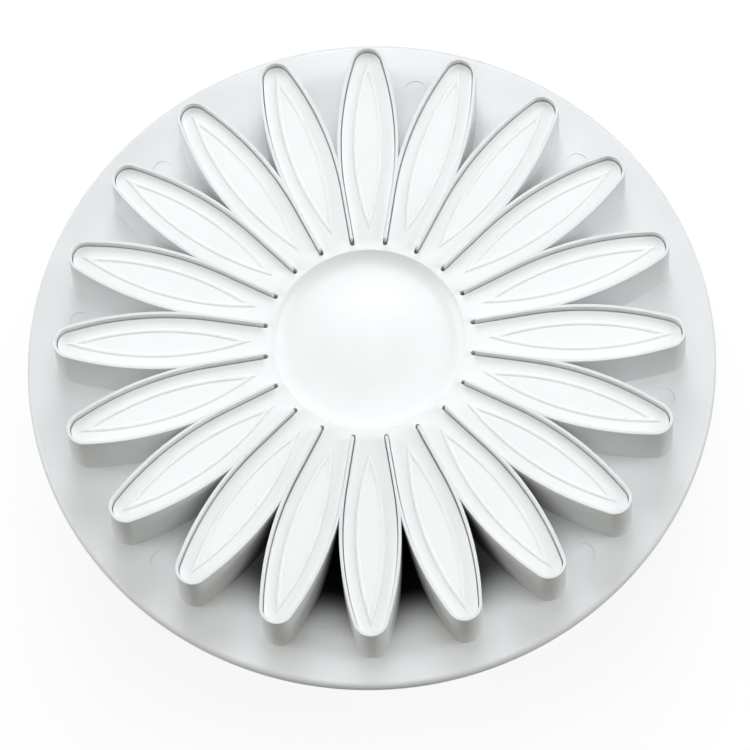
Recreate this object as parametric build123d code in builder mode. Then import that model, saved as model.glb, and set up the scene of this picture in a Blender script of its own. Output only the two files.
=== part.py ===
"""Plunger cutter for a 20-petal daisy, standing on its knob with the cutting edge up.

Frame: millimetres, +Z up, the origin at the centre of the knob's outer face.
One petal points along +X, so with 20 petals one also points along -Y, to the front.
"""

import os
from math import acos, atan2, cos, degrees, pi, radians, sin, sqrt

from build123d import *

# Cutting outline, seen from above
petals = 20
cut_size = 105.2
petal_width = 9.3
petal_tip_radius = 2.4
edge_wall = 0.55
fin_thickness = 0.5
fin_start_radius = 18.0

# Cutter shell
wall_height = 11.2
flange_diameter = 116.6
flange_thickness = 2.2
flange_edge_round = 1.0
lip_height = 1.4
lip_thickness = 1.2
lip_clearance = 0.15

# Round marks that the ejector pins left on the flange
mark_diameter = 3.8
mark_depth = 0.12
mark_circle_diameter = 100.0
marks_per_set = 4
mark_set_angles = (45, 81)

# Embossing plate
plate_recess = 1.3
plate_thickness = 3.0
plate_clearance = 0.12
slot_end_gap = 0.35
vein_inner_radius = 21.1
vein_outer_radius = 49.8
vein_half_width = 2.24
vein_line_width = 0.8
vein_height = 0.25
dish_diameter = 32.6
dish_dome_share = 0.47
dish_moat_share = 0.815
dish_dome_slope = 14.0
dish_wall_slope = 62.0
rib_thickness = 1.4
rib_end_gap = 2.0
rib_floor_gap = 0.7
hub_diameter = 18.0
hub_clearance = 3.0
hub_socket_depth = 8.0

# Back housing
foot_overlap = 10.0
foot_thickness = 2.0
foot_edge_round = 0.8
barrel_diameter = 22.0
barrel_bore_diameter = 17.2
barrel_length = 20.0
barrel_root_round = 2.4
barrel_end_round = 0.5

# Plunger
stroke = 3.2
stop_clearance = 0.3
stem_diameter = 6.0
stem_edge_chamfer = 0.4
stem_running_clearance = 0.08
stem_press_clearance = 0.02
shank_running_clearance = 0.08
shank_length = 9.5
shank_socket_depth = 7.0
knob_diameter = 34.0
knob_thickness = 7.5
knob_top_round = 2.6
knob_face_round = 1.2

# Screw and cap in the knob
cap_diameter = 18.0
cap_thickness = 1.2
cap_recess_depth = 1.5
cap_clearance = 0.1
cap_edge_round = 0.3
screw_diameter = 2.9
screw_grip = 6.0
screw_head_diameter = 5.4
screw_head_height = 1.8
screw_drive_width = 0.8
screw_drive_depth = 0.7
screw_hole_clearance = 0.05
screw_head_clearance = 0.2

# Return spring
spring_wire = 1.0
spring_mean_diameter = 11.6
spring_half_turns = 13

# Heights that follow from the sizes above
knob_top = knob_thickness
barrel_end = knob_top + stroke + stop_clearance
foot_back = barrel_end + barrel_length
flange_back = foot_back + foot_thickness
flange_face = flange_back + flange_thickness
rim = flange_face + wall_height
plate_face = rim - plate_recess
plate_back = plate_face - plate_thickness
shank_end = knob_top + shank_length
stem_low = shank_end - shank_socket_depth
stem_high = flange_back + hub_socket_depth
screw_seat = cap_recess_depth + screw_head_height + screw_head_clearance

# Half angle of one petal's sector, and sizes that several pieces share
sector_half = radians(180 / petals)
tip_centre = cut_size / 2 - petal_tip_radius
opening_radius = hub_diameter / 2 + hub_clearance
foot_radius = opening_radius + foot_overlap
stem_radius = stem_diameter / 2


def flank_circle():
    """Radius and centre of the long arc on a petal's side.

    The arc runs tangent from the round tip to the straight side of a fin, which
    lies half a fin from the line between two petals. Its widest place follows.
    """
    half_width = petal_width / 2
    spread = half_width - petal_tip_radius
    bend = (1 - cos(sector_half)) / (2 * spread)
    slope = 2 * bend * tip_centre + sin(sector_half)
    span = tip_centre**2 + half_width**2 - petal_tip_radius**2
    rest = bend * span + fin_thickness / 2 + half_width * cos(sector_half)
    widest = (slope - sqrt(slope**2 - 4 * bend * rest)) / (2 * bend)
    reach = tip_centre - widest
    radius = (reach**2 + half_width**2 - petal_tip_radius**2) / (2 * spread)
    return radius, (widest, half_width - radius)


def petal_face(grow):
    """One petal along +X, its sides moved outwards by grow."""
    radius, centre = flank_circle()
    tip_angle = degrees(atan2(-centre[1], tip_centre - centre[0]))
    fin_angle = 90 + degrees(sector_half)
    with BuildSketch() as petal:
        with BuildLine():
            CenterArc((tip_centre, 0), petal_tip_radius + grow, 0, tip_angle)
            flank = CenterArc(centre, radius + grow, tip_angle, fin_angle - tip_angle)
            Line(flank @ 1, ((fin_thickness / 2 - grow) / sin(sector_half), 0))
            mirror(about=Plane.XZ)
        make_face()
    return petal.sketch


def flower_face(grow, core_radius):
    """All petals, joined by a round core."""
    petal = petal_face(grow)
    with BuildSketch() as flower:
        Circle(core_radius)
        with PolarLocations(0, petals):
            add(petal)
    return flower.sketch


def vein_face(grow):
    """Almond of two arcs along +X, its sides moved outwards by grow."""
    half_length = (vein_outer_radius - vein_inner_radius) / 2
    radius = (half_length**2 + vein_half_width**2) / (2 * vein_half_width)
    drop = radius - vein_half_width
    opening = degrees(acos(drop / (radius + grow)))
    middle = vein_inner_radius + half_length
    with BuildSketch() as vein:
        with BuildLine():
            CenterArc((middle, -drop), radius + grow, 90 - opening, 2 * opening)
            mirror(about=Plane.XZ)
        make_face()
    return vein.sketch


def make_cutter_shell():
    """Flange with the petal wall on it and a lip on its back for the housing."""
    lip_inner = foot_radius + lip_clearance
    with BuildPart() as shell:
        with BuildSketch(Plane.XY.offset(flange_back)):
            Circle(flange_diameter / 2)
            Circle(opening_radius, mode=Mode.SUBTRACT)
        extrude(amount=flange_thickness)
        rims = shell.edges().filter_by(GeomType.CIRCLE).group_by(SortBy.RADIUS)[-1]
        fillet(rims, flange_edge_round)
        with BuildSketch(Plane.XY.offset(flange_face)):
            for angle in mark_set_angles:
                with PolarLocations(mark_circle_diameter / 2, marks_per_set, angle):
                    Circle(mark_diameter / 2)
        extrude(amount=-mark_depth, mode=Mode.SUBTRACT)
        with BuildSketch(Plane.XY.offset(flange_back)):
            add(flower_face(edge_wall, fin_start_radius))
            add(flower_face(0, fin_start_radius), mode=Mode.SUBTRACT)
        extrude(amount=flange_thickness + wall_height)
        with BuildSketch(Plane.XY.offset(flange_back)):
            Circle(lip_inner + lip_thickness)
            Circle(lip_inner, mode=Mode.SUBTRACT)
        extrude(amount=-lip_height)
    shell.part.label = "cutter_shell"
    return shell


def dish_profile():
    """Half section of the dish: a low dome, a moat round it and a rounded wall."""
    radius = dish_diameter / 2
    slope_sine = sin(radians(dish_dome_slope))
    wall_sine = sin(radians(dish_wall_slope))
    dome_arc = dish_dome_share * radius / slope_sine
    moat_arc = (dish_moat_share - dish_dome_share) * radius / slope_sine
    wall_arc = (1 - dish_moat_share) * radius / wall_sine
    fall = (dome_arc + moat_arc) * (1 - cos(radians(dish_dome_slope)))
    depth = wall_arc * (1 - cos(radians(dish_wall_slope))) - fall
    with BuildSketch(Plane.XZ) as dish:
        with BuildLine():
            dome = JernArc((0, plate_face - depth), (1, 0), dome_arc, -dish_dome_slope)
            moat = JernArc(dome @ 1, dome % 1, moat_arc, dish_dome_slope)
            wall = JernArc(moat @ 1, moat % 1, wall_arc, dish_wall_slope)
            Polyline(wall @ 1, (0, plate_face), (0, plate_face - depth))
        make_face()
    return dish.sketch


def make_emboss_plate():
    """Flower plate with veins and a dish in front, ribs and the stem's hub behind.

    The core's circle passes through the points where a slot's sides meet its round end.
    """
    slot_radius = fin_thickness / 2 + plate_clearance
    slot_end = fin_start_radius - slot_end_gap
    core_radius = sqrt(slot_end**2 + slot_radius**2)
    rib_reach = tip_centre - rib_end_gap
    rib_depth = plate_back - flange_face - rib_floor_gap
    hub_depth = plate_back - flange_back
    with BuildPart() as plate:
        with BuildSketch(Plane.XY.offset(plate_back)):
            add(flower_face(-plate_clearance, core_radius))
            with PolarLocations(slot_end, petals, 180 / petals):
                Circle(slot_radius, mode=Mode.SUBTRACT)
        extrude(amount=plate_thickness)
        with BuildSketch(Plane.XY.offset(plate_face)):
            with PolarLocations(0, petals):
                add(vein_face(vein_line_width / 2))
                add(vein_face(-vein_line_width / 2), mode=Mode.SUBTRACT)
        extrude(amount=vein_height)
        with BuildSketch(Plane.XY.offset(plate_back)):
            with PolarLocations(rib_reach / 2, petals):
                Rectangle(rib_reach, rib_thickness)
        extrude(amount=-rib_depth)
        with BuildSketch(Plane.XY.offset(plate_back)):
            Circle(hub_diameter / 2)
        extrude(amount=-hub_depth)
        revolve(dish_profile(), axis=Axis.Z, mode=Mode.SUBTRACT)
        with BuildSketch(Plane.XY.offset(flange_back)):
            Circle(stem_radius + stem_press_clearance)
        extrude(amount=hub_socket_depth, mode=Mode.SUBTRACT)
    plate.part.label = "emboss_plate"
    return plate


def make_back_housing():
    """Foot that lies on the flange's back, with the plunger's barrel."""
    with BuildPart() as housing:
        with BuildSketch(Plane.XY.offset(foot_back)):
            Circle(foot_radius)
        extrude(amount=foot_thickness)
        with BuildSketch(Plane.XY.offset(foot_back)):
            Circle(barrel_diameter / 2)
        extrude(amount=-barrel_length)
        back_edges = housing.faces().filter_by(Plane.XY).sort_by(Axis.Z)[1].edges()
        fillet(back_edges.sort_by(SortBy.LENGTH)[0], barrel_root_round)
        fillet(back_edges.sort_by(SortBy.LENGTH)[-1], foot_edge_round)
        fillet(housing.edges().sort_by(Axis.Z)[0], barrel_end_round)
        with BuildSketch(Plane.XY.offset(barrel_end)):
            Circle(barrel_bore_diameter / 2)
        extrude(amount=barrel_length, mode=Mode.SUBTRACT)
        with BuildSketch(Plane.XY.offset(foot_back)):
            Circle(stem_radius + stem_running_clearance)
        extrude(amount=foot_thickness, mode=Mode.SUBTRACT)
    housing.part.label = "back_housing"
    return housing


def make_plunger_stem():
    """Rod from the plate's hub to the knob, with the screw's hole in its lower end."""
    with BuildPart() as stem:
        with BuildSketch(Plane.XY.offset(stem_low)):
            Circle(stem_radius)
        extrude(amount=stem_high - stem_low)
        chamfer(stem.edges().sort_by(Axis.Z)[-1], stem_edge_chamfer)
        with BuildSketch(Plane.XY.offset(stem_low)):
            Circle(screw_diameter / 2 + screw_hole_clearance)
        extrude(amount=screw_grip + screw_hole_clearance, mode=Mode.SUBTRACT)
    stem.part.label = "plunger_stem"
    return stem


def make_press_knob():
    """Knob with the shank that slides in the barrel."""
    shank_radius = barrel_bore_diameter / 2 - shank_running_clearance
    with BuildPart() as knob:
        with BuildSketch():
            Circle(knob_diameter / 2)
        extrude(amount=knob_thickness)
        fillet(knob.edges().sort_by(Axis.Z)[-1], knob_top_round)
        fillet(knob.edges().sort_by(Axis.Z)[0], knob_face_round)
        with BuildSketch(Plane.XY.offset(knob_top)):
            Circle(shank_radius)
        extrude(amount=shank_length)
        with BuildSketch(Plane.XY.offset(stem_low)):
            Circle(stem_radius + stem_press_clearance)
        extrude(amount=shank_socket_depth, mode=Mode.SUBTRACT)
        with BuildSketch():
            Circle(cap_diameter / 2)
        extrude(amount=cap_recess_depth, mode=Mode.SUBTRACT)
        with BuildSketch():
            Circle(screw_head_diameter / 2 + screw_head_clearance)
        extrude(amount=screw_seat, mode=Mode.SUBTRACT)
        with BuildSketch():
            Circle(screw_diameter / 2 + screw_hole_clearance)
        extrude(amount=stem_low, mode=Mode.SUBTRACT)
    knob.part.label = "press_knob"
    return knob


def make_knob_screw():
    """Pan-head screw up through the knob into the stem."""
    head_low = screw_seat - screw_head_height
    with BuildPart() as screw:
        with BuildSketch(Plane.XY.offset(head_low)):
            Circle(screw_head_diameter / 2)
        extrude(amount=screw_head_height)
        with BuildSketch(Plane.XY.offset(screw_seat)):
            Circle(screw_diameter / 2)
        extrude(amount=stem_low + screw_grip - screw_seat)
        with BuildSketch(Plane.XY.offset(head_low)):
            Rectangle(screw_head_diameter / 2, screw_drive_width)
            Rectangle(screw_drive_width, screw_head_diameter / 2)
        extrude(amount=screw_drive_depth, mode=Mode.SUBTRACT)
    screw.part.label = "knob_screw"
    return screw


def make_knob_cap():
    """Plain disc that closes the recess over the screw's head."""
    with BuildPart() as cap:
        with BuildSketch(Plane.XY.offset(cap_recess_depth - cap_thickness)):
            Circle(cap_diameter / 2 - cap_clearance)
        extrude(amount=cap_thickness)
        fillet(cap.edges().sort_by(Axis.Z)[0], cap_edge_round)
    cap.part.label = "knob_cap"
    return cap


def spring_point(half_turns, low, rise):
    """Point on the coil's centre line and its direction there."""
    angle = pi * half_turns
    radius = spring_mean_diameter / 2
    point = Vector(radius * cos(angle), radius * sin(angle), low + rise * half_turns)
    direction = Vector(-pi * radius * sin(angle), pi * radius * cos(angle), rise)
    return point, direction.normalized()


def biarc_joint(start, start_way, end, end_way):
    """Where two tangent arcs of equal reach meet, and their direction there."""
    chord = end - start
    ways = start_way + end_way
    turn = 2 * (1 - start_way.dot(end_way))
    along = chord.dot(ways)
    reach = (sqrt(along**2 + turn * chord.dot(chord)) - along) / turn
    first = start + start_way * reach
    second = end - end_way * reach
    return (first + second) / 2, (second - first).normalized()


def print_spring_gap(line):
    """Least gap between turns of the coil, measured on points of its centre line."""
    samples_per_half_turn = 24
    count = spring_half_turns * samples_per_half_turn
    points = [line @ (n / count) for n in range(count + 1)]
    gap = min(
        (points[n] - points[m]).length - spring_wire
        for n in range(len(points))
        for m in range(n + samples_per_half_turn, len(points))
    )
    print(f"spring: least gap to itself {gap:.2f} mm")


def make_return_spring():
    """Coil round the stem, from the shank's end to the housing's foot."""
    low = shank_end + spring_wire / 2
    rise = (foot_back - shank_end - spring_wire) / spring_half_turns
    with BuildPart() as spring:
        with BuildLine() as coil:
            for turn in range(spring_half_turns):
                start, start_way = spring_point(turn, low, rise)
                end, end_way = spring_point(turn + 1, low, rise)
                joint, joint_way = biarc_joint(start, start_way, end, end_way)
                TangentArc(start, joint, tangent=start_way)
                TangentArc(joint, end, tangent=joint_way)
        with BuildSketch(Plane(origin=coil.line @ 0, z_dir=coil.line % 0)):
            Circle(spring_wire / 2)
        sweep()
    spring.part.label = "return_spring"
    print_spring_gap(coil.line)
    return spring


pieces = [
    make_cutter_shell(),
    make_emboss_plate(),
    make_back_housing(),
    make_plunger_stem(),
    make_press_knob(),
    make_knob_screw(),
    make_knob_cap(),
    make_return_spring(),
]
os.makedirs("parts", exist_ok=True)
for piece in pieces:
    export_step(piece.part, f"parts/{piece.part.label}.step")
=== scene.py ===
"""Looks of a plunger cutter for a 20-petal daisy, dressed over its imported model.

Metres, +Z up, the origin at the centre of the knob's outer face. One petal points along
+X and one along -Y, to the front.
"""

from math import asin, atan2, cos, pi, radians, sin, sqrt

import bmesh
import bpy
from bpy.props import (
    FloatProperty,
    FloatVectorProperty,
    IntProperty,
    PointerProperty,
)
from mathutils import Matrix, Vector


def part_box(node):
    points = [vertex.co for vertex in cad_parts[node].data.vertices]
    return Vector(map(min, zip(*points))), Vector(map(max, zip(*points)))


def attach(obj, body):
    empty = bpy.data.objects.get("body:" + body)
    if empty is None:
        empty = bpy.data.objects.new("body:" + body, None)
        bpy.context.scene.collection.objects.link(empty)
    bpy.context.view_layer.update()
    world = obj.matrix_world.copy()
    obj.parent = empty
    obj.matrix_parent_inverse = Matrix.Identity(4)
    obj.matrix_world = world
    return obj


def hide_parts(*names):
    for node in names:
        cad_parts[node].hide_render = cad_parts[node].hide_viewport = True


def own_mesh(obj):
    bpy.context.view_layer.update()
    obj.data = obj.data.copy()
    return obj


bl_info = {
    "name": "Daisy plunger cutter",
    "version": (1, 0, 0),
    "blender": (4, 5, 0),
    "location": "3D View > Sidebar > Cutter",
    "description": "Dresses the packed plunger cutter in moulded plastic and steel",
    "category": "Object",
}

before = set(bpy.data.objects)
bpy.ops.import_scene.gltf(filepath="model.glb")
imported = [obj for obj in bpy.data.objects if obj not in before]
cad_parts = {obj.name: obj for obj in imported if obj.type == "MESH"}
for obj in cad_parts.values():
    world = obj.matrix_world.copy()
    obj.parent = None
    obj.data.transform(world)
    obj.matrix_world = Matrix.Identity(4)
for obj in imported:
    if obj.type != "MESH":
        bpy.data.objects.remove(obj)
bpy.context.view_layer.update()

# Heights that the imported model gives
shell_low, shell_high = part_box("cutter_shell")
plate_low, plate_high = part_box("emboss_plate")
housing_low, housing_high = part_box("back_housing")
knob_low, knob_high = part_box("press_knob")
cap_low, cap_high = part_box("knob_cap")
coil_low, coil_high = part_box("return_spring")

UP = Vector((0, 0, 1))
# Metres within which points are one
MERGE = 2e-6
# Segments in each metre of a rounding's radius, and in each rounded rim
ROUND_SEGMENTS = 6000
RIM_SEGMENTS = 3
# Steps round the axis
LARGE_STEPS = 240
MIDDLE_STEPS = 160
CAP_STEPS = 128
HUB_STEPS = 96
MARK_STEPS = 48
# Shading: edges sharper than this stay sharp
SHARP_ANGLE = radians(35)
FACE_WEIGHT = 80
# Middle band of a noise that is spread to its full contrast
NOISE_LOW = 0.3
NOISE_HIGH = 0.7


def length(name, description, millimetres):
    """A size in the panel, kept in metres."""
    return FloatProperty(
        name=name,
        description=description,
        default=millimetres / 1000,
        min=0,
        precision=5,
        subtype="DISTANCE",
        unit="LENGTH",
    )


def angle(name, description, degrees_value):
    """An angle in the panel, kept in radians."""
    return FloatProperty(
        name=name,
        description=description,
        default=radians(degrees_value),
        subtype="ANGLE",
        unit="ROTATION",
    )


def colour(name, description, red, green, blue):
    """A colour in the panel."""
    return FloatVectorProperty(
        name=name,
        description=description,
        default=(red, green, blue),
        size=3,
        min=0,
        max=1,
        subtype="COLOR",
    )


def steps(name, description, count):
    """A number of steps in the panel."""
    return IntProperty(name=name, description=description, default=count, min=1)


def amount(name, description, value):
    """A plain number in the panel."""
    return FloatProperty(name=name, description=description, default=value, min=0)


class OutlineSettings(bpy.types.PropertyGroup):
    """Cutting outline that the wall and the plate share."""

    petals: IntProperty(name="Petals", description="Number of petals", default=20, min=3)
    cut_size: length("Cut size", "Width of the flower inside the edge", 105.2)
    petal_width: length("Petal width", "Widest place of one petal", 9.3)
    tip_radius: length("Tip radius", "Round tip of a petal", 2.4)
    edge_wall: length("Edge wall", "Thickness of the cutting wall", 0.55)
    fin_thickness: length("Fin thickness", "Wall between two petals near the centre", 0.5)
    fin_start: length("Fin start", "Radius at which the fins begin", 18.0)
    tip_steps: steps("Tip steps", "Steps round half a tip", 12)
    side_steps: steps("Side steps", "Steps along a side", 26)


class ShellSettings(bpy.types.PropertyGroup):
    """Flange and wall."""

    wall_height: length("Wall height", "Cutting edge above the flange", 11.2)
    rim_round: length("Rim rounding", "Rounding of the cutting edge", 0.13)
    flange_thickness: length("Flange thickness", "Thickness of the disc", 2.2)
    flange_round: length("Flange rounding", "Rounding of the disc's outer edge", 1.0)
    opening_diameter: length("Opening", "Hole in the disc for the plate's hub", 24.0)
    lip_inner: length("Lip inner radius", "Inside of the lip on the back", 22.15)
    lip_thickness: length("Lip thickness", "Thickness of the lip", 1.2)
    lip_round: length("Lip rounding", "Rounding of the lip's edge", 0.3)
    mark_diameter: length("Mark diameter", "Round ejector marks", 3.8)
    mark_depth: length("Mark depth", "Depth of the ejector marks", 0.12)
    mark_circle: length("Mark circle", "Diameter on which the marks lie", 100.0)
    first_mark: angle("First mark", "Turn of the first of four marks", 45.0)
    second_mark: angle("Second mark", "Turn of the first of the other four", 81.0)


class PlateSettings(bpy.types.PropertyGroup):
    """Embossing plate."""

    recess: length("Recess", "Plate below the cutting edge", 1.3)
    thickness: length("Thickness", "Thickness of the plate", 3.0)
    clearance: length("Clearance", "Gap between plate and wall", 0.12)
    edge_round: length("Edge rounding", "Rounding of the plate's edge", 0.15)
    slot_end_gap: length("Slot end gap", "Slot's end beyond the fin", 0.35)
    vein_inner: length("Vein inner end", "Radius of the vein's inner tip", 21.1)
    vein_outer: length("Vein outer end", "Radius of the vein's outer tip", 49.8)
    vein_half_width: length("Vein half width", "Half the almond's width", 2.24)
    vein_line: length("Vein line", "Width of the raised line", 0.8)
    vein_height: length("Vein height", "Height of the raised line", 0.25)
    dish_diameter: length("Dish", "Diameter of the dish", 32.6)
    dish_dome_share: amount("Dome share", "Dome's reach as a share of the dish", 0.47)
    dish_moat_share: amount("Moat share", "Moat's lowest place as a share", 0.815)
    dish_dome_slope: angle("Dome slope", "Steepest slope of the dome", 14.0)
    dish_wall_slope: angle("Wall slope", "Slope of the dish at its edge", 62.0)
    dish_edge_round: length("Dish edge", "Rounding of the dish's edge", 0.2)
    dish_edge_slope: angle("Edge slope", "Slope at which the edge's rounding ends", 12.0)
    slot_steps: steps("Slot steps", "Steps round half a slot's end", 8)
    vein_steps: steps("Vein steps", "Steps across a vein", 8)
    vein_length_steps: steps("Vein length steps", "Steps along a vein", 40)
    dome_steps: steps("Dome steps", "Steps along the dish's dome", 16)
    moat_steps: steps("Moat steps", "Steps down into the moat", 12)
    wall_steps: steps("Dish wall steps", "Steps up the dish's wall", 20)
    edge_steps: steps("Dish edge steps", "Steps round the dish's edge", 6)
    rib_thickness: length("Rib thickness", "Ribs behind the plate", 1.4)
    rib_depth: length("Rib depth", "Depth of the ribs", 6.2)
    rib_reach: length("Rib reach", "Outer end of the ribs", 48.2)
    hub_diameter: length("Hub", "Boss that holds the stem", 18.0)
    hub_round: length("Hub rounding", "Rounding of the hub's end", 0.3)


class PlungerSettings(bpy.types.PropertyGroup):
    """Housing, knob, cap and spring."""

    foot_thickness: length("Foot thickness", "Housing's foot on the disc's back", 2.0)
    foot_round: length("Foot rounding", "Rounding of the foot's edge", 0.8)
    barrel_diameter: length("Barrel", "Barrel round the plunger", 22.0)
    barrel_bore: length("Barrel bore", "Bore of the barrel", 17.2)
    barrel_root_round: length("Barrel root", "Fillet at the barrel's root", 2.4)
    barrel_end_round: length("Barrel end", "Rounding of the barrel's end", 0.5)
    stem_clearance_diameter: length("Stem hole", "Hole in the floor for the stem", 6.16)
    knob_thickness: length("Knob thickness", "Thickness of the knob", 7.5)
    knob_top_round: length("Knob top rounding", "Rounding next to the shank", 2.6)
    knob_face_round: length("Knob face rounding", "Rounding of the outer face", 1.2)
    shank_diameter: length("Shank", "Shank that slides in the barrel", 17.04)
    socket_diameter: length("Socket", "Socket for the stem", 6.04)
    stem_low: length("Stem end", "Height of the stem's lower end", 10.0)
    cap_recess_diameter: length("Cap recess", "Recess over the screw", 18.0)
    cap_recess_depth: length("Cap recess depth", "Depth of that recess", 1.5)
    screw_well: length("Screw well", "Well round the screw's head", 5.8)
    screw_seat: length("Screw seat", "Height of the screw's seat", 3.5)
    screw_hole: length("Screw hole", "Hole for the screw's shank", 3.0)
    cap_round: length("Cap rounding", "Rounding of the cap's edge", 0.3)
    wire: length("Spring wire", "Thickness of the spring's wire", 1.0)
    coil_diameter: length("Coil", "Mean diameter of the spring", 11.6)
    coil_turns: amount("Turns", "Turns of the spring", 6.5)
    coil_steps: steps("Coil steps", "Steps in one turn of the spring", 40)
    wire_steps: steps("Wire steps", "Steps round the spring's wire", 16)
    stroke: length("Stroke", "Travel of the plunger", 3.2)


class FinishSettings(bpy.types.PropertyGroup):
    """Colours and finishes."""

    plate_white: colour("Plate white", "Plastic of the plate", 0.88, 0.885, 0.88)
    # Greyer than the plate's white: partly a tone of its own, partly painted shade on the flange,
    # which lies deeper than the plate
    shell_tone_and_painted_shade: colour("Shell white", "Plastic of flange and wall", 0.79, 0.8, 0.8)
    back_white: colour("Back white", "Plastic of housing, knob and stem", 0.84, 0.845, 0.84)
    # Painted shade: a near-black colour laid on flange and wall deep between the front petals,
    # where shade falls, with how far it reaches; the sheen fades where it lies
    painted_shade_tone: colour("Deep tone", "Deep between the front petals", 0.006, 0.006, 0.005)
    painted_shade_inner: length("Dark within", "Radius inside which the flange is dark", 41.5)
    painted_shade_outer: length("Dark fades by", "Radius at which the dark has faded out", 50.5)
    painted_shade_below: length("Dark below", "Depth under the cutting edge at which it is full", 3.0)
    painted_shade_climb: amount("Dark climb", "How far the dark draws in for each length up the wall", 1.0)
    painted_shade_spread: angle("Dark spread", "Turn from the front at which the dark ends", 60.0)
    painted_shade_dull_from: amount("Dull from", "Share of the dark at which the sheen begins to fade", 0.3)
    painted_shade_dull_by: amount("Dull by", "Share of the dark at which the sheen is gone", 0.9)
    sheen: amount("Sheen", "Specular level of the plastic", 0.5)
    roughness: amount("Roughness", "Roughness of the plastic", 0.42)
    gloss_spread: amount("Gloss spread", "Share by which the roughness wanders", 0.08)
    gloss_scale: amount("Gloss scale", "Patches of gloss in a metre", 140.0)
    plastic_ior: amount("Plastic IOR", "Refractive index of the plastic", 1.49)
    cloud_share: amount("Cloud share", "Tone of the darker clouds", 0.975)
    cloud_scale: amount("Cloud scale", "Clouds in a metre", 55.0)
    grain_height: length("Grain", "Height of the fine moulded grain", 0.02)
    grain_scale: amount("Grain scale", "Grains in a metre", 3500.0)
    grain_strength: amount("Grain strength", "Strength of the grain", 0.35)
    steel: colour("Steel", "Bright steel", 0.62, 0.62, 0.63)
    steel_roughness: amount("Steel roughness", "Roughness of the steel", 0.3)
    steel_spread: amount("Steel spread", "Share by which that wanders", 0.15)
    steel_gloss_scale: amount("Steel gloss scale", "Patches of gloss in a metre", 1500.0)
    steel_share: amount("Steel share", "Tone of the duller patches", 0.9)
    steel_cloud_scale: amount("Steel cloud scale", "Duller patches in a metre", 900.0)
    steel_grain_scale: amount("Steel grain scale", "Drawing marks in a metre", 5000.0)


class StageSettings(bpy.types.PropertyGroup):
    """Floor, lamps and camera."""

    floor: colour("Floor", "Dull floor under the white glow", 0.16, 0.16, 0.16)
    floor_size: length("Floor size", "Edge of the floor", 4000.0)
    floor_roughness: amount("Floor roughness", "Roughness of the floor", 0.9)
    floor_sheen: amount("Floor sheen", "Specular level of the floor", 0.1)
    glow: amount("Floor glow", "Light that the floor adds for the camera alone", 0.86)
    sky_level: amount("Sky level", "Soft light from all round", 0.23)
    sky_tint: colour("Sky tint", "Warm light from all round", 1.0, 0.96, 0.72)
    lamp_distance: length("Lamp distance", "Lamps from the cutter", 950.0)
    lamp_size: length("Lamp size", "Edge of each square lamp", 500.0)
    back_level: amount("Back level", "Watts of the lamp behind the cutter", 3.8)
    right_level: amount("Right level", "Watts of the lamp on the right", 4.1)
    left_level: amount("Left level", "Watts of the lamp on the left", 3.9)
    top_level: amount("Top level", "Watts of the lamp overhead", 2.8)
    lamp_tint: colour("Lamp tint", "Cool light of the lamps", 0.9, 0.93, 1.0)
    back_elevation: angle("Back elevation", "Lamp behind above the plane", 40.0)
    right_elevation: angle("Right elevation", "Right lamp above the plane", 27.0)
    left_elevation: angle("Left elevation", "Left lamp above the plane", 20.0)
    sensor: amount("Sensor", "Width of the camera's sensor in millimetres", 36.0)
    focal_length: amount("Lens", "Focal length in millimetres", 339.0)
    near: length("Near", "Nearest distance that the camera sees", 100.0)
    far: length("Far", "Farthest distance that the camera sees", 10000.0)
    distance: length("Distance", "Camera from the cutting edge's centre", 1184.6)
    elevation: angle("Elevation", "Camera above the cutter's plane", 68.977)
    turn: angle("Turn", "Camera round the cutter", 4.672)
    roll: angle("Roll", "Camera about its own axis", -5.367)
    aim_right: length("Aim right", "Aim beside the centre", 1.011)
    aim_down: length("Aim down", "Aim below the centre", 6.472)


# Drawing in a bmesh


def point_at(bm, x, y, z):
    """A first point."""
    return bmesh.ops.create_vert(bm, co=(x, y, z))["vert"][0]


def arc_on(bm, point, centre, turn, steps, axis=UP):
    """Arc that starts at point and turns about centre. Returns its last point."""
    made = bmesh.ops.spin(
        bm, geom=[point], cent=centre, axis=axis, angle=turn, steps=steps
    )
    return next(p for p in made["geom_last"] if isinstance(p, bmesh.types.BMVert))


def line_on(bm, point, x, y, z):
    """Straight edge that starts at point. Returns its other end."""
    end = bmesh.ops.extrude_vert_indiv(bm, verts=[point])["verts"][0]
    end.co = (x, y, z)
    return end


def close_face(bm, first, last):
    """Joins the two ends of a chain and fills it."""
    bmesh.ops.contextual_create(bm, geom=[first, last])
    bmesh.ops.contextual_create(bm, geom=bm.edges[:])


def extrude_faces(bm, faces, shift):
    """Extrudes faces along shift and returns the new vertices."""
    made = bmesh.ops.extrude_face_region(bm, geom=faces, use_keep_orig=True)
    points = [g for g in made["geom"] if isinstance(g, bmesh.types.BMVert)]
    bmesh.ops.translate(bm, verts=points, vec=shift)
    return points


def round_edges(bm, edges, radius, segments):
    """Rounds edges."""
    return bmesh.ops.bevel(
        bm,
        geom=edges,
        offset=radius,
        offset_type="OFFSET",
        affect="EDGES",
        segments=segments,
        profile=0.5,
        material=-1,
    )


def round_corners(bm, corners, radius, segments):
    """Rounds corners of a flat profile."""
    return bmesh.ops.bevel(
        bm,
        geom=corners,
        offset=radius,
        offset_type="OFFSET",
        affect="VERTICES",
        segments=segments,
        profile=0.5,
        material=-1,
    )


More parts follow.
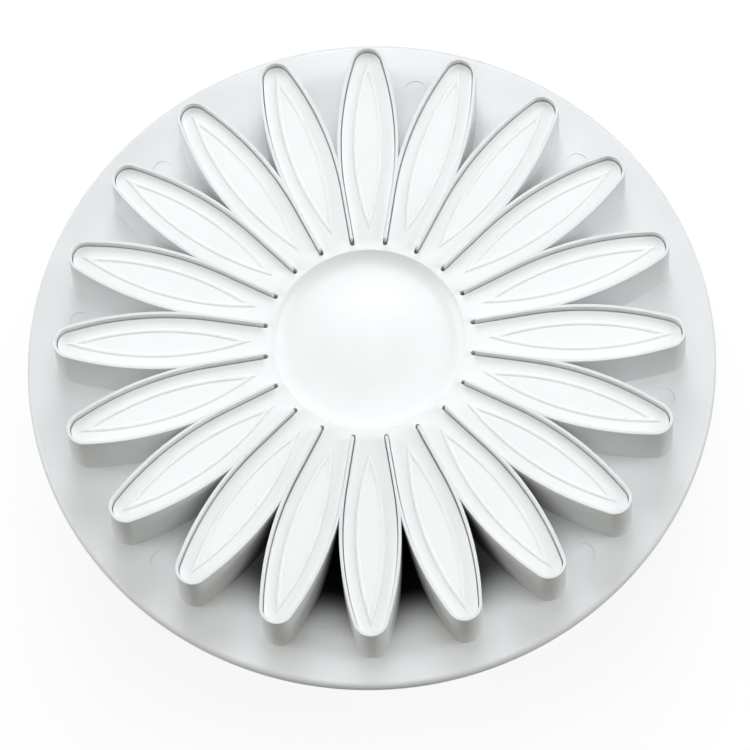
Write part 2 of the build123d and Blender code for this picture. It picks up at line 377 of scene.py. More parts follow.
def turned_profile(corners, steps):
    """Closed solid turned about Z from (radius, height, rounding) corners in order."""
    bm = bmesh.new()
    first = last = point_at(bm, corners[0][0], 0, corners[0][1])
    drawn = [first]
    for radius, height, _ in corners[1:]:
        last = line_on(bm, last, radius, 0, height)
        drawn.append(last)
    bmesh.ops.contextual_create(bm, geom=[last, first])
    for corner, (_, _, rounding) in zip(drawn, corners):
        if rounding > 0:
            segments = max(3, round(rounding * ROUND_SEGMENTS))
            round_corners(bm, [corner], rounding, segments)
    bmesh.ops.spin(
        bm,
        geom=bm.verts[:] + bm.edges[:],
        cent=(0, 0, 0),
        axis=UP,
        angle=2 * pi,
        steps=steps,
        use_merge=True,
    )
    bmesh.ops.remove_doubles(bm, verts=bm.verts[:], dist=MERGE)
    loose = [e for e in bm.edges if not e.link_faces]
    bmesh.ops.delete(bm, geom=loose, context="EDGES")
    bmesh.ops.recalc_face_normals(bm, faces=bm.faces[:])
    return bm


def on_sector_cut(face, half):
    """Whether a face lies in the plane of the petal's middle or between two petals."""
    side = Vector((-sin(half), cos(half), 0))
    middle = all(abs(v.co.y) < MERGE for v in face.verts)
    between = all(abs(v.co.dot(side)) < MERGE for v in face.verts)
    return middle or between


def repeat_petals(bm, petals):
    """Opens the half petal at its cuts, mirrors it and repeats it round the axis."""
    half = pi / petals
    cuts = [f for f in bm.faces if on_sector_cut(f, half)]
    bmesh.ops.delete(bm, geom=cuts, context="FACES")
    mirror_and_repeat(bm, petals)


def mirror_and_repeat(bm, petals):
    """Mirrors what is drawn across the petal's middle and repeats it round the axis."""
    bmesh.ops.mirror(
        bm, geom=bm.verts[:] + bm.edges[:] + bm.faces[:], merge_dist=MERGE, axis="Y"
    )
    bmesh.ops.spin(
        bm,
        geom=bm.verts[:] + bm.edges[:] + bm.faces[:],
        cent=(0, 0, 0),
        axis=UP,
        angle=2 * pi,
        steps=petals,
        use_duplicate=True,
    )
    bmesh.ops.remove_doubles(bm, verts=bm.verts[:], dist=MERGE)
    bmesh.ops.recalc_face_normals(bm, faces=bm.faces[:])


def new_piece(context, name, bm):
    """Object at the origin with that mesh."""
    mesh = bpy.data.meshes.new(name)
    bm.to_mesh(mesh)
    bm.free()
    piece = bpy.data.objects.new(name, mesh)
    context.scene.collection.objects.link(piece)
    return piece


def combine(context, piece, tool, operation):
    """Adds the tool's solid to the piece or takes it away, and removes the tool."""
    cut = piece.modifiers.new(operation.lower(), "BOOLEAN")
    cut.object = tool
    cut.operation = operation
    cut.solver = "MANIFOLD"
    context.view_layer.update()
    whole = piece.evaluated_get(context.evaluated_depsgraph_get())
    mesh = bpy.data.meshes.new_from_object(whole)
    piece.modifiers.clear()
    spent = piece.data
    piece.data = mesh
    mesh.name = piece.name
    bpy.data.meshes.remove(spent)
    spent = tool.data
    bpy.data.objects.remove(tool)
    bpy.data.meshes.remove(spent)


def finish_piece(piece, material, body, nodes):
    """Shading, material, body, slot and the nodes that the piece stands for."""
    piece.data.shade_smooth()
    piece.data.set_sharp_from_angle(angle=SHARP_ANGLE)
    level = piece.modifiers.new("level_normals", "WEIGHTED_NORMAL")
    level.keep_sharp = True
    level.weight = FACE_WEIGHT
    piece.data.materials.clear()
    piece.data.materials.append(material)
    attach(piece, body)
    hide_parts(*nodes)


# Cutting outline


def flank_circle(outline):
    """Radius and centre of the long arc on a petal's side.

    The arc runs tangent from the round tip to the straight side of a fin.
    """
    half = pi / outline.petals
    tip_centre = outline.cut_size / 2 - outline.tip_radius
    half_width = outline.petal_width / 2
    spread = half_width - outline.tip_radius
    bend = (1 - cos(half)) / (2 * spread)
    slope = 2 * bend * tip_centre + sin(half)
    span = tip_centre**2 + half_width**2 - outline.tip_radius**2
    rest = bend * span + outline.fin_thickness / 2 + half_width * cos(half)
    widest = (slope - sqrt(slope**2 - 4 * bend * rest)) / (2 * bend)
    reach = tip_centre - widest
    radius = (reach**2 + half_width**2 - outline.tip_radius**2) / (2 * spread)
    return radius, Vector((widest, half_width - radius, 0))


def turn_at(centre, distance, half):
    """Turn about centre at which a circle of that radius meets the line between petals."""
    side = Vector((-sin(half), cos(half), 0))
    along = Vector((cos(half), sin(half), 0))
    beside = -centre.dot(side)
    meeting = along * (centre.dot(along) + sqrt(distance**2 - beside**2))
    arm = meeting - centre
    return atan2(arm.y, arm.x)


def draw_side(bm, outline, grow, height):
    """Half a petal's outline, moved outwards by grow, from its tip to the fin's side."""
    half = pi / outline.petals
    centre = flank_circle(outline)[1]
    tip_centre = outline.cut_size / 2 - outline.tip_radius
    tip_turn = atan2(-centre.y, tip_centre - centre.x)
    first = point_at(bm, outline.cut_size / 2 + grow, 0, height)
    point = arc_on(bm, first, (tip_centre, 0, height), tip_turn, outline.tip_steps)
    turn = pi / 2 + half - tip_turn
    point = arc_on(bm, point, (centre.x, centre.y, height), turn, outline.side_steps)
    return first, point


def make_wall(outline, shell):
    """Petal wall with its fins, closed all round, with a rounded cutting edge."""
    half = pi / outline.petals
    rim = shell_high.z
    depth = shell.wall_height + shell.flange_thickness
    radius, centre = flank_circle(outline)
    tip_centre = outline.cut_size / 2 - outline.tip_radius
    tip_turn = atan2(-centre.y, tip_centre - centre.x)
    start = outline.fin_start
    fin_turn = asin(outline.fin_thickness / 2 / start)
    outer = radius + outline.edge_wall
    crotch_turn = turn_at(centre, outer, half)

    bm = bmesh.new()
    first, point = draw_side(bm, outline, 0, rim)
    side = half - fin_turn
    point = line_on(bm, point, start * cos(side), start * sin(side), rim)
    point = arc_on(bm, point, (0, 0, rim), fin_turn, 2)
    crotch = centre + outer * Vector((cos(crotch_turn), sin(crotch_turn), 0))
    point = line_on(bm, point, crotch.x, crotch.y, rim)
    turn = tip_turn - crotch_turn
    point = arc_on(bm, point, (centre.x, centre.y, rim), turn, outline.side_steps)
    last = arc_on(bm, point, (tip_centre, 0, rim), -tip_turn, outline.tip_steps)
    close_face(bm, first, last)
    extrude_faces(bm, bm.faces[:], (0, 0, -depth))
    repeat_petals(bm, outline.petals)
    rims = [
        e
        for e in bm.edges
        if all(v.co.z > rim - MERGE for v in e.verts)
        and any(abs(f.normal.z) < 0.5 for f in e.link_faces)
    ]
    round_edges(bm, rims, shell.rim_round, RIM_SEGMENTS)
    return bm


def make_flange(shell):
    """Disc with the hub's hole, a rounded edge and the lip on its back."""
    back = shell_high.z - shell.wall_height - shell.flange_thickness
    face = back + shell.flange_thickness
    outer = shell_high.x
    inner = shell.opening_diameter / 2
    lip_outer = shell.lip_inner + shell.lip_thickness
    corners = [
        (inner, back, 0),
        (shell.lip_inner, back, 0),
        (shell.lip_inner, shell_low.z, shell.lip_round),
        (lip_outer, shell_low.z, shell.lip_round),
        (lip_outer, back, shell.lip_round),
        (outer, back, shell.flange_round),
        (outer, face, shell.flange_round),
        (inner, face, 0),
    ]
    return turned_profile(corners, LARGE_STEPS)


def make_marks(shell):
    """Short round pins that press the ejector marks."""
    face = shell_high.z - shell.wall_height
    radius = shell.mark_circle / 2
    bm = bmesh.new()
    for turn in (shell.first_mark, shell.second_mark):
        for quarter in range(4):
            way = turn + quarter * pi / 2
            place = Matrix.Translation((radius * cos(way), radius * sin(way), face))
            bmesh.ops.create_cone(
                bm,
                cap_ends=True,
                segments=MARK_STEPS,
                radius1=shell.mark_diameter / 2,
                radius2=shell.mark_diameter / 2,
                depth=shell.mark_depth * 2,
                matrix=place,
            )
    return bm


class CUTTER_OT_shell(bpy.types.Operator):
    """Flange with the petal-shaped cutting wall"""

    bl_idname = "cutter.shell"
    bl_label = "Cutter shell"

    def execute(self, context):
        outline = context.scene.cutter_outline
        shell = context.scene.cutter_shell
        piece = new_piece(context, "shell", make_flange(shell))
        wall = new_piece(context, "wall", make_wall(outline, shell))
        combine(context, piece, wall, "UNION")
        marks = new_piece(context, "marks", make_marks(shell))
        combine(context, piece, marks, "DIFFERENCE")
        plastic = shell_plastic(context)
        finish_piece(piece, plastic, "cutter_body", ["cutter_shell"])
        return {"FINISHED"}


# Embossing plate


def make_plate_body(outline, plate):
    """Flower plate with slots for the fins and a rounded edge."""
    half = pi / outline.petals
    face = shell_high.z - plate.recess
    slot_radius = outline.fin_thickness / 2 + plate.clearance
    slot_end = outline.fin_start - plate.slot_end_gap
    bm = bmesh.new()
    first, point = draw_side(bm, outline, -plate.clearance, face)
    slot = Vector((slot_end * cos(half), slot_end * sin(half), face))
    start = slot + slot_radius * Vector((sin(half), -cos(half), 0))
    point = line_on(bm, point, *start)
    point = arc_on(bm, point, slot, -pi / 2, plate.slot_steps)
    last = line_on(bm, point, 0, 0, face)
    close_face(bm, first, last)
    extrude_faces(bm, bm.faces[:], (0, 0, -plate.thickness))
    repeat_petals(bm, outline.petals)
    edges = [
        e
        for e in bm.edges
        if all(v.co.z > face - MERGE for v in e.verts)
        and any(abs(f.normal.z) < 0.5 for f in e.link_faces)
    ]
    round_edges(bm, edges, plate.edge_round, RIM_SEGMENTS)
    return bm


def draw_vein(bm, plate, centre, radius):
    """Cross-section of a vein's line: a low round ridge with a foot below the face."""
    face = centre.z
    half_line = plate.vein_line / 2
    foot = plate.vein_height / 3
    tube = (half_line**2 + plate.vein_height**2) / (2 * plate.vein_height)
    opening = 2 * asin(min(1, half_line / tube))
    start = centre + Vector((0, radius + half_line, 0))
    first = point_at(bm, start.x, start.y, start.z)
    top = centre + Vector((0, radius, plate.vein_height - tube))
    last = arc_on(bm, first, top, opening, plate.vein_steps, axis=Vector((1, 0, 0)))
    down = line_on(bm, last, last.co.x, last.co.y, face - foot)
    line_on(bm, down, first.co.x, first.co.y, face - foot)
    bm.verts.ensure_lookup_table()
    bmesh.ops.contextual_create(bm, geom=[first, bm.verts[-1]])
    bmesh.ops.contextual_create(bm, geom=bm.edges[:])


def make_veins(outline, plate):
    """Raised almond-shaped line on each petal."""
    face = shell_high.z - plate.recess
    half_length = (plate.vein_outer - plate.vein_inner) / 2
    middle = plate.vein_inner + half_length
    radius = (half_length**2 + plate.vein_half_width**2) / (2 * plate.vein_half_width)
    centre = Vector((middle, plate.vein_half_width - radius, face))
    overrun = 3 * plate.vein_line
    reach = asin((half_length + overrun) / radius)

    bm = bmesh.new()
    draw_vein(bm, plate, centre, radius)
    bmesh.ops.rotate(
        bm, verts=bm.verts[:], cent=centre, matrix=Matrix.Rotation(-reach, 3, "Z")
    )
    bmesh.ops.spin(
        bm,
        geom=bm.faces[:],
        cent=centre,
        axis=UP,
        angle=2 * reach,
        steps=plate.vein_length_steps,
    )
    bmesh.ops.bisect_plane(
        bm,
        geom=bm.verts[:] + bm.edges[:] + bm.faces[:],
        dist=MERGE / 10,
        plane_co=(0, 0, 0),
        plane_no=(0, -1, 0),
        clear_outer=True,
    )
    mirror_and_repeat(bm, outline.petals)
    return bm


def make_dish(plate):
    """Solid that cuts the dish: a low dome, a moat round it and a rounded wall."""
    face = shell_high.z - plate.recess
    radius = plate.dish_diameter / 2
    dome_sine = sin(plate.dish_dome_slope)
    wall_sine = sin(plate.dish_wall_slope)
    dome_arc = plate.dish_dome_share * radius / dome_sine
    moat_arc = (plate.dish_moat_share - plate.dish_dome_share) * radius / dome_sine
    edge = plate.dish_edge_round
    wall_arc = (1 - plate.dish_moat_share) * radius / wall_sine - edge
    fall = (dome_arc + moat_arc) * (1 - cos(plate.dish_dome_slope))
    depth = (wall_arc + edge) * (1 - cos(plate.dish_wall_slope)) - fall
    back = Vector((0, 1, 0))

    bm = bmesh.new()
    first = point_at(bm, 0, 0, face - depth)
    centre = Vector((0, 0, face - depth - dome_arc))
    point = arc_on(bm, first, centre, plate.dish_dome_slope, plate.dome_steps, back)
    centre = point.co + (point.co - centre).normalized() * moat_arc
    point = arc_on(bm, point, centre, -plate.dish_dome_slope, plate.moat_steps, back)
    centre = point.co + Vector((0, 0, wall_arc))
    point = arc_on(bm, point, centre, -plate.dish_wall_slope, plate.wall_steps, back)
    centre = point.co + edge * (point.co - centre).normalized()
    turn = plate.dish_wall_slope - plate.dish_edge_slope
    point = arc_on(bm, point, centre, turn, plate.edge_steps, back)
    corner = point.co.copy()
    point = line_on(bm, point, corner.x, 0, face + edge)
    last = line_on(bm, point, 0, 0, face + edge)
    bmesh.ops.contextual_create(bm, geom=[first, last])
    bmesh.ops.spin(
        bm,
        geom=bm.verts[:] + bm.edges[:],
        cent=(0, 0, 0),
        axis=UP,
        angle=2 * pi,
        steps=MIDDLE_STEPS,
        use_merge=True,
    )
    bmesh.ops.remove_doubles(bm, verts=bm.verts[:], dist=MERGE)
    bmesh.ops.recalc_face_normals(bm, faces=bm.faces[:])
    return bm


def make_ribs(outline, plate):
    """Ribs behind the plate, joined in its middle."""
    back = shell_high.z - plate.recess - plate.thickness
    sink = plate.rib_depth / 20
    bm = bmesh.new()
    for petal in range(outline.petals // 2):
        spin = Matrix.Rotation(2 * pi * petal / outline.petals, 4, "Z")
        size = (2 * plate.rib_reach, plate.rib_thickness, plate.rib_depth + sink)
        place = Matrix.Translation((0, 0, back - (plate.rib_depth - sink) / 2))
        bmesh.ops.create_cube(
            bm, size=1, matrix=spin @ place @ Matrix.Diagonal((*size, 1))
        )
    return bm


def make_hub(plate):
    """Boss behind the plate that holds the stem."""
    back = shell_high.z - plate.recess - plate.thickness
    corners = [
        (0, plate_low.z, 0),
        (plate.hub_diameter / 2, plate_low.z, plate.hub_round),
        (plate.hub_diameter / 2, back + plate.thickness / 4, 0),
        (0, back + plate.thickness / 4, 0),
    ]
    return turned_profile(corners, HUB_STEPS)


class CUTTER_OT_plate(bpy.types.Operator):
    """Embossing plate with its veins, dish, ribs and hub"""

    bl_idname = "cutter.plate"
    bl_label = "Embossing plate"

    def execute(self, context):
        outline = context.scene.cutter_outline
        plate = context.scene.cutter_plate
        piece = new_piece(context, "plate", make_plate_body(outline, plate))
        for name, bm, operation in (
            ("veins", make_veins(outline, plate), "UNION"),
            ("dish", make_dish(plate), "DIFFERENCE"),
            ("ribs", make_ribs(outline, plate), "UNION"),
            ("hub", make_hub(plate), "UNION"),
        ):
            combine(context, piece, new_piece(context, name, bm), operation)
        plastic = plate_plastic(context)
        finish_piece(piece, plastic, "plunger", ["emboss_plate"])
        return {"FINISHED"}


# Housing, knob, cap and spring


def make_housing(plunger):
    """Foot with the barrel, open where the stem and the knob's shank pass."""
    foot_back = housing_high.z - plunger.foot_thickness
    barrel = plunger.barrel_diameter / 2
    bore = plunger.barrel_bore / 2
    stem_hole = plunger.stem_clearance_diameter / 2
    edge = plunger.barrel_end_round
    corners = [
        (stem_hole, foot_back, 0),
        (bore, foot_back, edge / 2),
        (bore, housing_low.z, edge / 2),
        (barrel, housing_low.z, edge),
        (barrel, foot_back, plunger.barrel_root_round),
        (housing_high.x, foot_back, plunger.foot_round),
        (housing_high.x, housing_high.z, 0),
        (stem_hole, housing_high.z, 0),
    ]
    return turned_profile(corners, LARGE_STEPS)


def make_knob(plunger):
    """Knob with its shank, the stem's socket and the recess for the cap."""
    top = knob_low.z + plunger.knob_thickness
    shank = plunger.shank_diameter / 2
    edge = plunger.barrel_end_round
    corners = [
        (plunger.screw_hole / 2, plunger.stem_low, 0),
        (plunger.socket_diameter / 2, plunger.stem_low, 0),
        (plunger.socket_diameter / 2, knob_high.z, edge / 2),
        (shank, knob_high.z, edge / 2),
        (shank, top, edge),
        (knob_high.x, top, plunger.knob_top_round),
        (knob_high.x, knob_low.z, plunger.knob_face_round),
        (plunger.cap_recess_diameter / 2, knob_low.z, edge / 3),
        (plunger.cap_recess_diameter / 2, plunger.cap_recess_depth, 0),
        (plunger.screw_well / 2, plunger.cap_recess_depth, 0),
        (plunger.screw_well / 2, plunger.screw_seat, 0),
        (plunger.screw_hole / 2, plunger.screw_seat, 0),
    ]
    return turned_profile(corners, MIDDLE_STEPS)


def make_cap(plunger):
    """Plain disc in the knob's recess."""
    corners = [
        (0, cap_low.z, 0),
        (cap_high.x, cap_low.z, plunger.cap_round),
        (cap_high.x, cap_high.z, 0),
        (0, cap_high.z, 0),
    ]
    return turned_profile(corners, CAP_STEPS)


def make_coil(plunger):
    """Spring wire wound round the stem, with closed ends."""
    radius = plunger.coil_diameter / 2
    rise = coil_high.z - coil_low.z - plunger.wire
    count = round(plunger.coil_turns * plunger.coil_steps)
    lead = atan2(rise, plunger.coil_turns * pi * plunger.coil_diameter)
    centre = Matrix.Translation((radius, 0, coil_low.z + plunger.wire / 2))
    upright = Matrix.Rotation(pi / 2 + lead, 4, "X")
    bm = bmesh.new()
    bmesh.ops.create_circle(
        bm,
        cap_ends=False,
        segments=plunger.wire_steps,
        radius=plunger.wire / 2,
        matrix=centre @ upright,
    )
    bmesh.ops.spin(
        bm,
        geom=bm.verts[:] + bm.edges[:],
        cent=(0, 0, 0),
        axis=UP,
        angle=plunger.coil_turns * 2 * pi,
        dvec=(0, 0, rise / count),
        steps=count,
    )
    bmesh.ops.holes_fill(bm, edges=bm.edges[:])
    bmesh.ops.recalc_face_normals(bm, faces=bm.faces[:])
    return bm


class CUTTER_OT_housing(bpy.types.Operator):
    """Housing's foot and barrel behind the disc"""

    bl_idname = "cutter.housing"
    bl_label = "Back housing"

    def execute(self, context):
        piece = new_piece(context, "housing", make_housing(context.scene.cutter_plunger))
        plastic = back_plastic(context)
        finish_piece(piece, plastic, "cutter_body", ["back_housing"])
        return {"FINISHED"}


class CUTTER_OT_knob(bpy.types.Operator):
    """Press knob and the cap over its screw"""

    bl_idname = "cutter.knob"
    bl_label = "Press knob and cap"

    def execute(self, context):
        plunger = context.scene.cutter_plunger
        plastic = back_plastic(context)
        knob = new_piece(context, "knob", make_knob(plunger))
        finish_piece(knob, plastic, "plunger", ["press_knob"])
        cap = new_piece(context, "cap", make_cap(plunger))
        finish_piece(cap, plastic, "plunger", ["knob_cap"])
        return {"FINISHED"}


class CUTTER_OT_spring(bpy.types.Operator):
    """Return spring round the stem; on the real cutter it shortens as the knob is pressed"""

    bl_idname = "cutter.spring"
    bl_label = "Return spring"

    def execute(self, context):
        plunger = context.scene.cutter_plunger
        coil = new_piece(context, "coil", make_coil(plunger))
        steel = bright_steel(context)
        finish_piece(coil, steel, "cutter_body", ["return_spring"])
        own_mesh(coil)
        return {"FINISHED"}


class CUTTER_OT_inner(bpy.types.Operator):
    """Finishes of the stem and the screw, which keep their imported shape"""

    bl_idname = "cutter.inner"
    bl_label = "Stem and screw"

    def execute(self, context):
        for name, material in (
            ("plunger_stem", back_plastic(context)),
            ("knob_screw", bright_steel(context)),
        ):
            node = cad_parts[name]
            node.data.materials.clear()
            node.data.materials.append(material)
        return {"FINISHED"}


# Materials


def add_node(tree, kind, **settings):
    """Shader node with its settings; those that it lacks are names of its inputs."""
    node = tree.nodes.new(kind)
    for name, value in settings.items():
        if hasattr(node, name):
            setattr(node, name, value)
        else:
            node.inputs[name.replace("_", " ").title()].default_value = value
    return node


def object_noise(tree, scale, detail=3.0):
    """Noise on object coordinates."""
    place = tree.nodes.get("object_place")
    if place is None:
        place = tree.nodes.new("ShaderNodeTexCoord")
        place.name = "object_place"
    noise = add_node(tree, "ShaderNodeTexNoise", scale=scale, detail=detail)
    tree.links.new(place.outputs["Object"], noise.inputs["Vector"])
    return noise.outputs["Fac"]


def ramp(tree, value, low, high, out_low, out_high):
    """Maps a value from one range to another, with smooth ends."""
    node = tree.nodes.new("ShaderNodeMapRange")
    node.interpolation_type = "SMOOTHSTEP"
    tree.links.new(value, node.inputs["Value"])
    for name, number in (
        ("From Min", low),
        ("From Max", high),
        ("To Min", out_low),
        ("To Max", out_high),
    ):
        node.inputs[name].default_value = number
    return node.outputs["Result"]


def mix_colour(tree, share, first, second):
    """Mix of two colours, each a colour or a socket."""
    node = tree.nodes.new("ShaderNodeMix")
    node.data_type = "RGBA"
    tree.links.new(share, node.inputs[0])
    for socket, value in ((node.inputs[6], first), (node.inputs[7], second)):
        if isinstance(value, bpy.types.NodeSocket):
            tree.links.new(value, socket)
        else:
            socket.default_value = (*value, 1)
    return node.outputs[2]


def patchy(tree, scale, low, high):
    """Value that wanders between low and high in soft patches."""
    return ramp(tree, object_noise(tree, scale), NOISE_LOW, NOISE_HIGH, low, high)


def grain_bump(tree, shader, finish, scale):
    """Fine grain of the surface."""
    bump = tree.nodes.new("ShaderNodeBump")
    bump.inputs["Strength"].default_value = finish.grain_strength
    bump.inputs["Distance"].default_value = finish.grain_height
    tree.links.new(object_noise(tree, scale, 2.0), bump.inputs["Height"])
    tree.links.new(bump.outputs["Normal"], shader.inputs["Normal"])


def new_material(name):
    """Material with its tree and shader."""
    material = bpy.data.materials.new(name)
    material.use_nodes = True
    tree = material.node_tree
    return material, tree, tree.nodes["Principled BSDF"]


def moulded_plastic(context, name, white):
    """White moulded plastic, faintly clouded, with a fine grain."""
    finish = context.scene.cutter_finish
    material, tree, shader = new_material(name)
    cloud = patchy(tree, finish.cloud_scale, 0.0, 1.0)
    tone = mix_colour(tree, cloud, [c * finish.cloud_share for c in white], white)
    tree.links.new(tone, shader.inputs["Base Color"])
    rough = finish.roughness
    spread = rough * finish.gloss_spread
    gloss = patchy(tree, finish.gloss_scale, rough - spread, rough + spread)
    tree.links.new(gloss, shader.inputs["Roughness"])
    shader.inputs["IOR"].default_value = finish.plastic_ior
    grain_bump(tree, shader, finish, finish.grain_scale)
    return material, tree, shader, tone


def plate_plastic(context):
    """Plastic of the embossing plate."""
    found = bpy.data.materials.get("plate_plastic")
    if found:
        return found
    white = context.scene.cutter_finish.plate_white
    return moulded_plastic(context, "plate_plastic", white)[0]


def back_plastic(context):
    """Plastic of housing, knob, cap and stem."""
    found = bpy.data.materials.get("back_plastic")
    if found:
        return found
    white = context.scene.cutter_finish.back_white
    return moulded_plastic(context, "back_plastic", white)[0]


def multiply(tree, sockets):
    """Product of values."""
    total = sockets[0]
    for socket in sockets[1:]:
        node = add_node(tree, "ShaderNodeMath", operation="MULTIPLY")
        tree.links.new(total, node.inputs[0])
        tree.links.new(socket, node.inputs[1])
        total = node.outputs["Value"]
    return total


def painted_shade_mask(tree, finish, shell):
    """Painted shade mask: 1 deep between the front petals, near the centre, and 0 elsewhere; it
    darkens only the front gaps, where shade falls.
    """
    rim = shell_high.z
    face = rim - shell.wall_height
    skin = shell.flange_thickness / 4
    place = tree.nodes["object_place"]
    split = tree.nodes.new("ShaderNodeSeparateXYZ")
    tree.links.new(place.outputs["Object"], split.inputs["Vector"])
    flat = tree.nodes.new("ShaderNodeCombineXYZ")
    tree.links.new(split.outputs["X"], flat.inputs["X"])
    tree.links.new(split.outputs["Y"], flat.inputs["Y"])
    reach = add_node(tree, "ShaderNodeVectorMath", operation="LENGTH")
    tree.links.new(flat.outputs["Vector"], reach.inputs[0])
    raised = add_node(tree, "ShaderNodeMath", operation="MULTIPLY_ADD")
    tree.links.new(split.outputs["Z"], raised.inputs[0])
    raised.inputs[1].default_value = finish.painted_shade_climb
    tree.links.new(reach.outputs["Value"], raised.inputs[2])
    inner = finish.painted_shade_inner + face * finish.painted_shade_climb
    outer = finish.painted_shade_outer + face * finish.painted_shade_climb
    near = ramp(tree, raised.outputs["Value"], inner, outer, 1.0, 0.0)
    way = add_node(tree, "ShaderNodeVectorMath", operation="NORMALIZE")
    tree.links.new(flat.outputs["Vector"], way.inputs[0])
    front = add_node(tree, "ShaderNodeVectorMath", operation="DOT_PRODUCT")
    tree.links.new(way.outputs["Vector"], front.inputs[0])
    front.inputs[1].default_value = (0, -1, 0)
    side = ramp(tree, front.outputs["Value"], cos(finish.painted_shade_spread), 1.0, 0.0, 1.0)
    below = ramp(tree, split.outputs["Z"], rim - finish.painted_shade_below, rim, 1.0, 0.0)
    above = ramp(tree, split.outputs["Z"], face - 2 * skin, face - skin, 0.0, 1.0)
    return multiply(tree, [near, below, side, above])


def shell_plastic(context):
    """Plastic of flange and wall, with painted shade, nearly black, deep between the front
    petals.
    """
    found = bpy.data.materials.get("shell_plastic")
    if found:
        return found
    finish = context.scene.cutter_finish
    white = finish.shell_tone_and_painted_shade
    material, tree, shader, tone = moulded_plastic(context, "shell_plastic", white)
    # Painted shade: the mask darkens the colour to near black and takes away the sheen deep
    # between the front petals
    dark = painted_shade_mask(tree, finish, context.scene.cutter_shell)
    shade = mix_colour(tree, dark, tone, finish.painted_shade_tone)
    tree.links.new(shade, shader.inputs["Base Color"])
    sheen = ramp(tree, dark, finish.painted_shade_dull_from, finish.painted_shade_dull_by, finish.sheen, 0.0)
    tree.links.new(sheen, shader.inputs["Specular IOR Level"])
    return material


def bright_steel(context):
    """Drawn steel with fine marks along the wire."""
    found = bpy.data.materials.get("bright_steel")
    if found:
        return found
    finish = context.scene.cutter_finish
    material, tree, shader = new_material("bright_steel")
    cloud = patchy(tree, finish.steel_cloud_scale, 0.0, 1.0)
    faded = [c * finish.steel_share for c in finish.steel]
    tone = mix_colour(tree, cloud, faded, finish.steel)
    tree.links.new(tone, shader.inputs["Base Color"])
    shader.inputs["Metallic"].default_value = 1.0
    rough = finish.steel_roughness
    spread = rough * finish.steel_spread
    gloss = patchy(tree, finish.steel_gloss_scale, rough - spread, rough + spread)
    tree.links.new(gloss, shader.inputs["Roughness"])
    grain_bump(tree, shader, finish, finish.steel_grain_scale)
    return material


# Stage


def pale_floor(context):
    """Floor that looks white and keeps the cutter's soft shadow."""
    stage = context.scene.cutter_stage
    material, tree, shader = new_material("pale_floor")
    shader.inputs["Base Color"].default_value = (*stage.floor, 1)
    shader.inputs["Roughness"].default_value = stage.floor_roughness
    shader.inputs["Specular IOR Level"].default_value = stage.floor_sheen
    path = tree.nodes.new("ShaderNodeLightPath")
    seen = seen_by_eye(tree, path)
    glow = add_node(tree, "ShaderNodeMath", operation="MULTIPLY")
    tree.links.new(seen, glow.inputs[0])
    glow.inputs[1].default_value = stage.glow
    shader.inputs["Emission Color"].default_value = (1, 1, 1, 1)
    tree.links.new(glow.outputs["Value"], shader.inputs["Emission Strength"])
    return material


def seen_by_eye(tree, path):
    """1 for camera, glossy and transmitted rays, else 0."""
    total = path.outputs["Is Camera Ray"]
    for name in ("Is Glossy Ray", "Is Transmission Ray"):
        larger = add_node(tree, "ShaderNodeMath", operation="MAXIMUM")
        tree.links.new(total, larger.inputs[0])
        tree.links.new(path.outputs[name], larger.inputs[1])
        total = larger.outputs["Value"]
    return total


def make_sky(context):
    """Soft even light; the eye sees plain white."""
    stage = context.scene.cutter_stage
    world = bpy.data.worlds.new("soft_light")
    context.scene.world = world
    world.use_nodes = True
    tree = world.node_tree
    back = tree.nodes["Background"]
    path = tree.nodes.new("ShaderNodeLightPath")
    seen = seen_by_eye(tree, path)
    tint = mix_colour(tree, seen, stage.sky_tint, (1, 1, 1))
    tree.links.new(tint, back.inputs["Color"])
    level = tree.nodes.new("ShaderNodeMapRange")
    tree.links.new(seen, level.inputs["Value"])
    level.inputs["To Min"].default_value = stage.sky_level
    level.inputs["To Max"].default_value = 1.0
    tree.links.new(level.outputs["Result"], back.inputs["Strength"])


def make_lamp(context, name, level, turn, elevation):
    """Square soft lamp, turned round the cutter from behind it and aimed at it."""
    stage = context.scene.cutter_stage
    lamp = bpy.data.lights.new(name, "AREA")
    lamp.shape = "SQUARE"
    lamp.size = stage.lamp_size
    lamp.energy = level
    lamp.color = stage.lamp_tint
    place = bpy.data.objects.new(name, lamp)
    context.scene.collection.objects.link(place)
    place.visible_camera = False
    flat = cos(elevation)
    way = Vector((sin(turn) * flat, cos(turn) * flat, sin(elevation)))
    place.location = Vector((0, 0, shell_high.z)) + way * stage.lamp_distance
    place.rotation_euler = way.to_track_quat("Z", "Y").to_euler()


def make_lamps(context):
    """Lamps behind, on both sides and overhead."""
    stage = context.scene.cutter_stage
    quarter = pi / 2
    for name, level, turn, elevation in (
        ("back_lamp", stage.back_level, 0, stage.back_elevation),
        ("right_lamp", stage.right_level, quarter, stage.right_elevation),
        ("left_lamp", stage.left_level, -quarter, stage.left_elevation),
        ("top_lamp", stage.top_level, 0, quarter),
    ):
        make_lamp(context, name, level, turn, elevation)


def make_camera(context):
    """Camera at the photograph's angle."""
    stage = context.scene.cutter_stage
    camera = bpy.data.cameras.new("camera")
    camera.sensor_width = stage.sensor
    camera.lens = stage.focal_length
    camera.clip_start = stage.near
    camera.clip_end = stage.far
    place = bpy.data.objects.new("camera", camera)
    context.scene.collection.objects.link(place)
    turn = Matrix.Rotation(stage.turn, 3, "Z")
    back = turn @ Vector((0, -cos(stage.elevation), sin(stage.elevation)))
    right = turn @ Vector((1, 0, 0))
    up = back.cross(right)
    roll = stage.roll
    across = right * cos(roll) + up * sin(roll)
    upward = up * cos(roll) - right * sin(roll)
    centre = Vector((0, 0, shell_high.z))
    aim = centre + across * stage.aim_right - upward * stage.aim_down
    place.matrix_world = Matrix(
        (
            (across.x, upward.x, back.x, 0),
            (across.y, upward.y, back.y, 0),
            (across.z, upward.z, back.z, 0),
            (0, 0, 0, 1),
        )
    )
    place.location = aim + back * stage.distance
    context.scene.camera = place


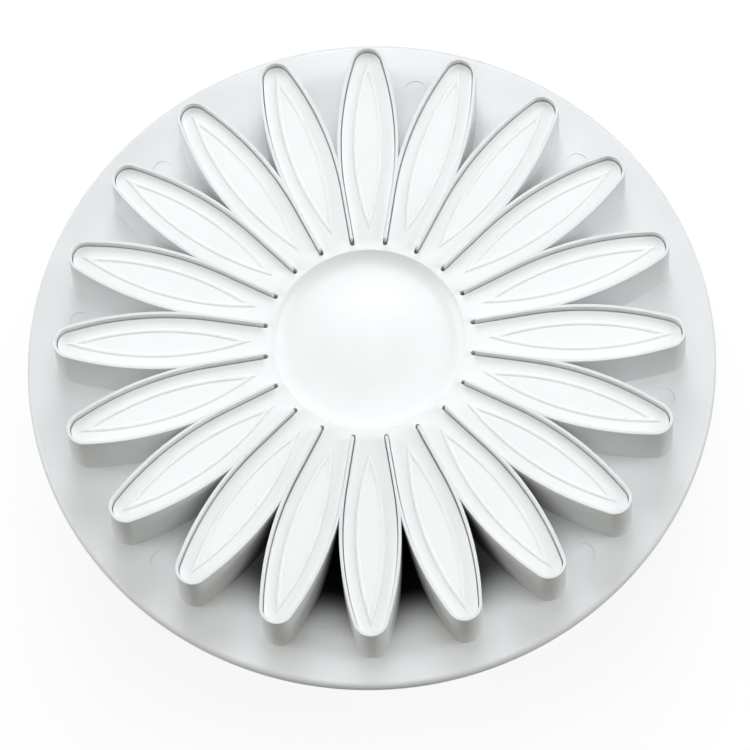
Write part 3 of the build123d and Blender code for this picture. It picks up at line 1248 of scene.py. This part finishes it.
class CUTTER_OT_stage(bpy.types.Operator):
    """Pale floor, soft light and the camera"""

    bl_idname = "cutter.stage"
    bl_label = "Stage"

    def execute(self, context):
        stage = context.scene.cutter_stage
        bm = bmesh.new()
        bmesh.ops.create_grid(bm, x_segments=1, y_segments=1, size=stage.floor_size / 2)
        floor = new_piece(context, "floor", bm)
        floor.data.materials.append(pale_floor(context))
        make_sky(context)
        make_lamps(context)
        make_camera(context)
        context.scene.view_settings.view_transform = "Standard"
        return {"FINISHED"}


class CUTTER_PT_panel(bpy.types.Panel):
    """Buttons for the cutter's operators"""

    bl_label = "Daisy plunger cutter"
    bl_idname = "CUTTER_PT_panel"
    bl_space_type = "VIEW_3D"
    bl_region_type = "UI"
    bl_category = "Cutter"

    def draw(self, context):
        for piece in piece_operators:
            self.layout.operator(piece.bl_idname)


settings_groups = {
    "cutter_outline": OutlineSettings,
    "cutter_shell": ShellSettings,
    "cutter_plate": PlateSettings,
    "cutter_plunger": PlungerSettings,
    "cutter_finish": FinishSettings,
    "cutter_stage": StageSettings,
}
piece_operators = [
    CUTTER_OT_shell,
    CUTTER_OT_plate,
    CUTTER_OT_housing,
    CUTTER_OT_knob,
    CUTTER_OT_spring,
    CUTTER_OT_inner,
    CUTTER_OT_stage,
]


def register():
    """Registers the settings, the operators and the panel."""
    for name, group in settings_groups.items():
        bpy.utils.register_class(group)
        setattr(bpy.types.Scene, name, PointerProperty(type=group))
    for piece in piece_operators:
        bpy.utils.register_class(piece)
    bpy.utils.register_class(CUTTER_PT_panel)


def unregister():
    """Takes them out again."""
    bpy.utils.unregister_class(CUTTER_PT_panel)
    for piece in reversed(piece_operators):
        bpy.utils.unregister_class(piece)
    for name, group in settings_groups.items():
        delattr(bpy.types.Scene, name)
        bpy.utils.unregister_class(group)


def main():
    """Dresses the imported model."""
    register()
    bpy.ops.cutter.shell()
    bpy.ops.cutter.plate()
    bpy.ops.cutter.housing()
    bpy.ops.cutter.knob()
    bpy.ops.cutter.spring()
    bpy.ops.cutter.inner()
    bpy.ops.cutter.stage()


if __name__ == "__main__":
    main()
